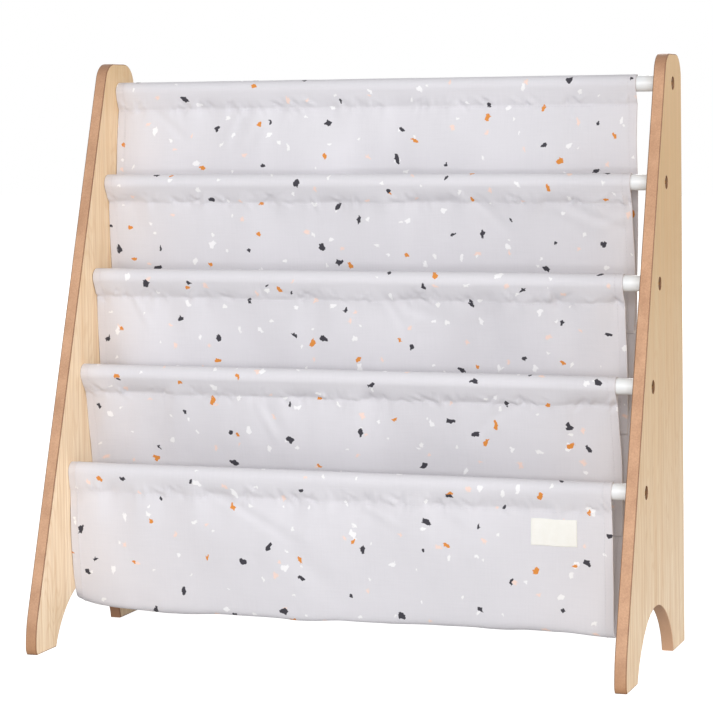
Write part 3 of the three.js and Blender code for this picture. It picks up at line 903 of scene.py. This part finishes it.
# Height off the line at x and at a distance down from the seam; that is below zero on the sleeve
def seamWrinkles(x, down, seed):
    random = np.random.default_rng(seed)
    w = wrinkles
    reach = np.exp(-np.abs(down) / w["puckerReach"])
    pitch = w["puckerPitch"]
    height = w["puckerDepth"] * reach * (
        softNoise(x / pitch + 0.02 * down, down / 40, seed)
        + 0.5 * softNoise(x / (pitch * 0.45), down / 25, seed + 1))
    dent = w["seamDepth"] * np.exp(-(down / w["seamWidth"]) ** 2)
    height -= dent * (1 + 0.5 * softNoise(x / 11, 0 * x, seed + 2))
    for _ in range(w["creases"]):
        place = (random.uniform(left, right), random.uniform(-10, 1))
        angle = random.choice([-1, 1], p=[0.25, 0.75]) * random.uniform(0.5, 1.5)
        length, width = random.uniform(*w["creaseLength"]), random.uniform(*w["creaseWidth"])
        depth = random.choice([-1, 1]) * random.uniform(0.4, 1) * w["creaseDepth"]
        height += crease(x, down, place, length, angle, width, depth)
    for _ in range(w["longCreases"]):
        place = (random.uniform(left, right), random.uniform(8, 30))
        angle = random.choice([-1, 1]) * random.uniform(0.3, 1.2)
        length, width = random.uniform(*w["longLength"]), random.uniform(*w["longWidth"])
        height += crease(x, down, place, length, angle, width, random.choice([-1, 1]) * w["longDepth"])
    for line in dragLines.get(seed, ()):
        height += crease(x, down, *line)
    # soft upright gathers under the seam
    reach = np.exp(-(np.clip(down, 0, None) / w["gatherReach"]) ** 2) * np.clip((down + 20) / 20, 0, 1)
    height += w["gatherDepth"] * reach * softNoise(x / w["gatherPitch"] + 0.004 * down, down / 90, seed + 3)
    return height


# Broad soft waves, held in near the seams, and a fine crumple
def panelWaves(x, along, fromSeam, seed):
    w = wrinkles
    pitch, finePitch = w["wavePitch"], w["crumplePitch"]
    free = 0.25 + 0.75 * (1 - np.exp(-(np.clip(fromSeam, 0, None) / w["heldReach"]) ** 2))
    waves = free * w["waveDepth"] * softNoise(x / pitch, along / (w["waveStretch"] * pitch), seed)
    crumple = w["crumpleDepth"] * (
        softNoise(x / finePitch, along / finePitch, seed + 1)
        + 0.5 * softNoise(2.3 * x / finePitch, 2.3 * along / finePitch, seed + 2))
    return waves + crumple


# The steps between the points of a grid, along it and across it, and the directions square to its surface
def gridSteps(grid):
    downward, sideways = np.gradient(grid, axis=0), np.gradient(grid, axis=1)
    outward = unit(np.cross(sideways, downward))
    return downward, sideways, outward


rimReach = 0.4  # how far a sheet's edge is rounded outwards, in thicknesses


# Sews a grid of points into a closed sheet of cloth with rounded edges
def sheetMesh(name, grid, place, hemShadeBand, thickness):
    rows, columns = grid.shape[:2]
    downward, sideways, outward = gridSteps(grid)
    count = rows * columns
    index = np.arange(count).reshape(rows, columns)
    border = np.concatenate([index[0, :-1], index[:-1, -1], index[-1, :0:-1], index[:0:-1, 0]])
    flat = grid.reshape(-1, 3)
    pull = np.zeros_like(grid)
    pull[0] -= downward[0]
    pull[-1] += downward[-1]
    pull[:, 0] -= sideways[:, 0]
    pull[:, -1] += sideways[:, -1]
    rim = flat[border] + unit(pull.reshape(-1, 3)[border]) * thickness * rimReach
    half = outward.reshape(-1, 3) * thickness / 2
    points = np.concatenate([flat + half, flat - half, rim])
    a, b = index[:-1, :-1].ravel(), index[:-1, 1:].ravel()
    d, c = index[1:, :-1].ravel(), index[1:, 1:].ravel()
    front = np.stack([a, b, c, d], -1)
    behind = np.stack([d, c, b, a], -1) + count
    rimHere = 2 * count + np.arange(len(border))
    rimNext, borderNext = np.roll(rimHere, -1), np.roll(border, -1)
    edgeFront = np.stack([borderNext, border, rimHere, rimNext], -1)
    edgeBack = np.stack([rimNext, rimHere, count + border, count + borderNext], -1)
    mesh = toMesh(name, points, np.concatenate([front, behind, edgeFront, edgeBack]))
    for key, kind, values in (("clothPlace", "FLOAT_VECTOR", place), ("hemShadeBand", "FLOAT", hemShadeBand)):
        values = values.reshape(count, -1)
        allValues = np.concatenate([values, values, values[border]]).astype(np.float32)
        layer = mesh.attributes.new(key, kind, "POINT")
        layer.data.foreach_set("vector" if kind == "FLOAT_VECTOR" else "value", allValues.ravel())
    return mesh, outward


# Small arched stitches along a line on the cloth
stitch = {"pitch": 3.4, "length": 2.5, "radius": 0.22, "lift": 0.04, "sides": 6}
# The rings of a stitch: share of its length along it, share of its radius, and how many radii it is lifted
stitchRings = ((-0.5, 0.35, -1.2), (-0.4, 0.85, -0.3), (-0.15, 1, 0.2), (0.15, 1, 0.2), (0.4, 0.85, -0.3),
               (0.5, 0.35, -1.2))


def stitchRun(line, normals):
    lengths = lengthsAlong(line[:, None])[:, 0]
    places = np.arange(stitch["pitch"], lengths[-1] - stitch["pitch"], stitch["pitch"])

    def at(where, field):
        return np.stack([np.interp(where, lengths, field[:, axis]) for axis in range(3)], -1)

    centre = at(places, line)
    ahead = unit(at(places + 1, line) - centre)
    aside = unit(np.cross(ahead, unit(at(places, normals))))
    up = np.cross(aside, ahead)
    sides, points, faces = stitch["sides"], [], []
    for along, girth, lift in stitchRings:
        for turn in np.linspace(0, 2 * math.pi, sides, endpoint=False):
            radius = stitch["radius"] * girth
            height = stitch["lift"] + stitch["radius"] * lift + radius * math.sin(turn)
            point = centre + ahead * along * stitch["length"]
            points.append(point + aside * radius * math.cos(turn) + up * height)
    for ring in range(0, (len(stitchRings) - 1) * sides, sides):
        for j in range(sides):
            k = (j + 1) % sides
            faces.append((ring + j, ring + k, ring + sides + k, ring + sides + j))
    caps = [tuple(range(sides))[::-1], tuple(range(len(points) - sides, len(points)))]
    return np.stack(points, 1), faces + caps


def makeStitching(name, runs):
    points, faces, start = [], [], 0
    for line, normals in runs:
        made, pattern = stitchRun(line, normals)
        for one in made:
            points.append(one)
            faces += [[start + corner for corner in face] for face in pattern]
            start += len(one)
    mesh = toMesh(name, np.concatenate(points), faces)
    return addPiece(name, mesh, [threadMaterial], "cloth")


# Gives the rows of a cloth their wrinkles and makes its mesh and stitching. Each seam is its row, then 1
# where the panel follows it or -1 where it comes before, then a seed. Each dowel is the first and last row
# that lie on it.
def makeCloth(name, node, rows, seams, still, seed, shift, dowels, stitchRows, rightEnds):
    lengths = lengthsAlong(rows).mean(1)
    x = np.tile(xs, (len(rows), 1))
    along = np.tile(lengths[:, None], (1, len(xs)))
    # a sleeve's back layer follows its front layer, so that neither pokes through the other
    follows, turned = lengths.copy(), np.ones(len(rows))
    for row, sign, _ in seams:
        layer, rear = slice(0, foldedRows), allowanceRows
        if sign < 0:
            layer, rear = slice(-foldedRows, None), -1 - allowanceRows
        follows[layer] = lengths[row] + lengths[rear] - lengths[layer]
        turned[layer] = -1
    pattern = np.tile(follows[:, None], (1, len(xs)))
    fromSeam = np.min([sign * (pattern - lengths[row]) for row, sign, _ in seams], 0)
    height = panelWaves(x, pattern, fromSeam, seed)
    for row, sign, seamSeed in seams:
        height += seamWrinkles(x, sign * (pattern - lengths[row]), seamSeed)
    height *= turned[:, None]
    # the cloth is held where it lies on a dowel and where another cloth is sewn to it
    hold, looseness = np.ones(len(rows)), np.ones(len(rows))
    for row in still:
        hold *= 1 - np.exp(-((lengths - lengths[row]) / wrinkles["junctionReach"]) ** 4)
    for start, end in dowels:
        middle, half = (lengths[start] + lengths[end]) / 2, (lengths[end] - lengths[start]) / 2
        looseness *= np.clip((np.abs(lengths - middle) - half) / wrinkles["dowelReach"], 0, 1)
    height *= (hold * looseness)[:, None]
    onDowel = (looseness == 0)[:, None] * wrinkles["sleeveLooseness"]
    height += onDowel * (0.5 + 0.5 * softNoise(x / 30, along / 60, seed + 7))
    grid = np.concatenate([x[..., None], rows], -1)
    outward = gridSteps(grid)[2]
    fromEdge = np.minimum(x - left, right - x)
    fromStitch = (fromEdge - hem + cloth["hemStitch"]) / cloth["hemStitch"]
    height -= cloth["grooveDepth"] * np.exp(-fromStitch ** 2)
    hemWave = cloth["hemWave"] * softNoise(along / 7, x / 30, seed + 9) * np.exp(-(fromEdge / hem) ** 2)
    grid = grid + outward * (hemWave * looseness[:, None] - height)[..., None]
    # side edges wander a little, and the right one isn't quite upright
    wander = cloth["edgeWander"] * softNoise(along / 34, 0 * along, seed + 11)
    grid[..., 0] += wander * np.exp(-fromEdge / cloth["edgeWanderReach"])
    grid[..., 0] = np.maximum(grid[..., 0], left - cloth["pastLeft"])
    ends = np.linspace(*rightEnds, len(rows))
    for _, sign, _ in seams:
        fromFree = np.arange(len(rows))[::sign]
        ends -= np.interp(fromFree, [foldedRows, foldedRows + overRows / 2], [cloth["rearTuck"], 0])
    grid[..., 0] += ends[:, None] * across
    place = np.stack([(x + shift[0]) * mm, (along + shift[1]) * mm, 0 * x], -1)
    hemShadeBand = np.clip((hem - fromEdge) / cloth["hemBlur"] + 0.5, 0, 1)
    mesh, outward = sheetMesh(name, grid, place, hemShadeBand, cloth["thickness"])
    piece = addPiece(name, mesh, [canvasMaterial], "cloth", node)
    column = int(np.argmin(np.abs(xs - (left + hem - cloth["hemStitch"]))))
    runs = []
    for side in (-1, 1):
        surface = grid + side * outward * cloth["thickness"] / 2
        runs += [(surface[row], side * outward[row]) for row in stitchRows]
        runs += [(surface[:, c], side * outward[:, c]) for c in (column, len(xs) - 1 - column)]
    return piece, makeStitching(f"{name}_stitching", runs), lengths[-1]


def makeMainCloth():
    allowance = cloth["allowance"]
    top = sleeveRows(0, mainLine[0], mainTangents[0], sampled(mainLine, mainLengths, allowance))
    backwards = mainLine[::-1]
    lowEnd = sampled(backwards, lengthsAlong(backwards), allowance)
    low = sleeveRows(4, mainLine[-1], -mainTangents[-1], lowEnd)
    end = mainLengths[-1].mean()

    def step(length):
        hidden = (length > cloth["hidden"][0]) & (length < end - cloth["hidden"][1])
        nearSeam = np.minimum(length, end - length) < cloth["seamReach"]
        return np.where(hidden, cloth["hiddenRowStep"],
                        np.where(nearSeam, cloth["seamRowStep"], cloth["rowStep"]))

    panel = spacedRows(mainLine, step)
    rows = np.concatenate([top[::-1], panel[1:], low[1:]])
    seamTop = len(top) - 1
    seamLow = seamTop + len(panel) - 1
    lengths = lengthsAlong(panel).mean(1)
    sewn = mainLengths.mean(1)[[knot * knotSteps for knot in junctions]]
    still = [seamTop + int(np.argmin(np.abs(lengths - length))) for length in sewn]
    dowels = [(seamTop - frontRows - overRows, seamTop - frontRows),
              (seamLow + frontRows, seamLow + frontRows + overRows)]
    seams = [(seamTop, 1, 11), (seamLow, -1, lowSeamSeed)]
    made = makeCloth("main_sling", "main_cloth", rows, seams, still, 21, (0, 0), dowels,
                     [seamTop + 1, seamLow - 1], cloth["rightEnds"])
    return *made, seamLow, len(rows)


# Upper and lower tell how far a pocket bows to the back at its left end, middle and right end, in parts of
# the dowels' step. Shift moves its print. Ends are how far its right edge lies from the full width, in
# millimetres, at its first row and at its last.
pockets = [
    {"upper": (-0.1, 0.26, 0.4), "lower": (-0.1, 0.24, 0.36), "shift": (191, 417), "ends": (-1.2, -3.2)},
    {"upper": (-0.15, 0.2, 0.26), "lower": (-0.4, 0.2, 0.14), "shift": (388, 905), "ends": (-2.0, -4.0)},
    {"upper": (0.14, -0.15, 0.3), "lower": (0.1, 0.16, 0.2), "shift": (67, 1303), "ends": (-1.2, -5.0)},
]
pocketCurve = {"upperShare": 0.36, "lowerShare": 0.7, "upperFolds": 1, "lowerFolds": 0.7, "steps": 80}
sewnDown = (2.5, 5, 7)  # places along a pocket's sewn edge, which lies flat on the main cloth


def makePocket(number):
    knot = junctions[number - 1] * knotSteps
    apart = cloth["thickness"] + cloth["sewnGap"]
    sewn = mainLine[knot] - square(mainTangents[knot]) * apart
    seam = seamLine(number)
    pocket = pockets[number - 1]

    def handle(which):
        share = pocketCurve[which + "Share"]
        atLeft, atMiddle, atRight = pocket[which]
        bow = atLeft * (1 - across) * (1 - 2 * across) + atMiddle * 4 * across * (1 - across)
        bow = (bow + atRight * across * (2 * across - 1)) * rodStepY
        folds = pocketCurve[which + "Folds"] * foldAt((number + share) / 5)
        y = seam[:, 0] + (sewn[:, 0] - seam[:, 0]) * share + bow + folds
        return np.stack([y, seam[:, 1] + (sewn[:, 1] - seam[:, 1]) * share], -1)

    line = bezier(seam, handle("upper"), handle("lower"), sewn, pocketCurve["steps"])
    flat = [sampled(mainLine, mainLengths, mainLengths[knot] + step) - square(mainTangents[knot]) * apart
            for step in sewnDown]
    line = np.concatenate([line, flat])
    allowanceEnd = sampled(line, lengthsAlong(line), cloth["allowance"])
    sleeve = sleeveRows(number, seam, unit(line[1] - line[0]), allowanceEnd)

    def step(length):
        return np.where(length < cloth["seamReach"], cloth["seamRowStep"], cloth["rowStep"])

    panel = spacedRows(line, step)
    rows = np.concatenate([sleeve[::-1], panel[1:]])
    seamRow = len(sleeve) - 1
    dowels = [(seamRow - frontRows - overRows, seamRow - frontRows)]
    return makeCloth(f"pocket_sling_{number}", f"pocket_cloth_{number}", rows, [(seamRow, 1, 11 + number)],
                     [len(rows) - 1], 31 + 10 * number, pocket["shift"], dowels,
                     [seamRow + 1, len(rows) - 2], pocket["ends"])


mainPiece, mainThread, mainLength, lowSeamRow, mainRowCount = makeMainCloth()
print("main cloth made")
for number in (1, 2, 3):
    piece, thread, length = makePocket(number)
    print("pocket", number, "made, flat length", round(length), "mm")

# Blank label: a small piece of woven tape on the front of the lowest tier
label = {
    "width": 46,
    "height": 26,
    "thickness": 0.5,
    "gap": 0.12,  # between it and the cloth
    "endInset": 34.5,
    "seamDrop": 9,
    "step": 1.2,
    "clothRows": 25,  # of the main cloth, from the low seam down, under the label and a little past it
}


def makeLabel():
    end, top = right - label["endInset"], label["seamDrop"]
    labelXs = np.linspace(end - label["width"], end, int(label["width"] / label["step"]) + 1)
    drops = np.linspace(top, top + label["height"], int(label["height"] / label["step"]) + 1)
    # the cloth's mesh holds its front here first, and then its back
    mesh = mainPiece.data
    points = np.empty(len(mesh.vertices) * 3, np.float32)
    mesh.vertices.foreach_get("co", points)
    points = points.reshape(-1, 3)[:2 * mainRowCount * len(xs)] / mm
    layers = points.reshape(2, mainRowCount, len(xs), 3)
    front, back = layers[:, lowSeamRow:lowSeamRow - label["clothRows"]:-1]
    lengths = lengthsAlong(front)
    lifted = front + unit(front - back) * (label["thickness"] / 2 + label["gap"])
    grid = np.empty((len(drops), len(labelXs), 3))
    for i, drop in enumerate(drops):
        line = sampled(lifted, lengths, drop)
        for axis in range(3):
            grid[i, :, axis] = np.interp(labelXs, xs, line[:, axis])
    grid[..., 0] = labelXs
    x, y = np.meshgrid(labelXs, drops)
    place = np.stack([x * mm, y * mm, 0 * x], -1)
    made = sheetMesh("blank_label", grid, place, 0 * x, label["thickness"])[0]
    return addPiece("blank_label", made, [tapeMaterial], "label", "label")


labelPiece = makeLabel()
print("label made; main cloth's flat length", round(mainLength), "mm")

# Studio: pale floor and white surround, a large soft lamp on either side of the camera, one at the right
# side, and weaker ones behind and low in front. Each lamp has its place and size in metres, and its power in
# watts.
studio = {
    "lamps": {
        "softLeft": ((-2.8, -5.6, 2.4), (2.6, 2.6), 76),
        "softFront": ((2.0, -5.8, 1.8), (2.6, 2.6), 161),
        "softSide": ((5.85, -0.8, 1.3), (2, 2), 151),
        "softBack": ((-1.2, 6.0, 2.6), (2.6, 2.6), 120),
        "lowFill": ((0.1, -1.0, 0.3), (1.1, 0.14), 1.7),
    },
    "aim": (0, 0, 0.3),
    "ambient": 0.37,
    "floor": "#c2c2c2",
    "floorGlow": 0.9,
    "floorReach": 14,
}


def addLamp(name, place, size, power):
    data = bpy.data.lights.new(name, "AREA")
    data.shape = "RECTANGLE"
    data.size, data.size_y = size
    data.energy = power
    lamp = bpy.data.objects.new(name, data)
    lamp.location = place
    lamp.visible_camera = False
    lamp.rotation_euler = (Vector(studio["aim"]) - Vector(place)).to_track_quat("-Z", "Y").to_euler()
    bpy.context.scene.collection.objects.link(lamp)


# White where the camera or a reflection sees it, dimmer as a light
def makeSurround():
    world = bpy.data.worlds.new("studioWorld")
    world.use_nodes = True
    tree = world.node_tree
    tree.nodes.clear()
    path = addNode(tree, "LightPath").outputs
    seen = maths(tree, "MAXIMUM", path["Is Camera Ray"], path["Is Glossy Ray"])
    seen = maths(tree, "MAXIMUM", seen, path["Is Transmission Ray"])
    ambient, white = [addNode(tree, "Background", {"Color": (1, 1, 1, 1), "Strength": strength}).outputs[0]
                      for strength in (studio["ambient"], 1)]
    mixed = addNode(tree, "MixShader", {0: seen, 1: ambient, 2: white})
    addNode(tree, "OutputWorld", {"Surface": mixed.outputs[0]})
    bpy.context.scene.world = world


# Matt grey to the light, and lit up to white where the camera sees it
def makeFloor():
    material, tree = newMaterial("paleStudioFloor")
    path = addNode(tree, "LightPath").outputs
    matt = addNode(tree, "BsdfDiffuse", {"Color": srgb(studio["floor"])}).outputs[0]
    glow = addNode(tree, "Emission", {"Color": (1, 1, 1, 1), "Strength": studio["floorGlow"]}).outputs[0]
    lit = addNode(tree, "AddShader", {0: matt, 1: glow}).outputs[0]
    mixed = addNode(tree, "MixShader", {0: path["Is Camera Ray"], 1: matt, 2: lit})
    addNode(tree, "OutputMaterial", {"Surface": mixed.outputs[0]})
    mesh = bpy.data.meshes.new("studioFloor")
    reach = studio["floorReach"]
    mesh.from_pydata([(-reach, -reach, 0), (reach, -reach, 0), (reach, reach, 0), (-reach, reach, 0)], [],
                     [(0, 1, 2, 3)])
    mesh.materials.append(material)
    floor = bpy.data.objects.new("studioFloor", mesh)
    bpy.context.scene.collection.objects.link(floor)


for name, (place, size, power) in studio["lamps"].items():
    addLamp(name, place, size, power)
makeSurround()
makeFloor()
bpy.context.scene.view_settings.view_transform = "Standard"
print("studio set")
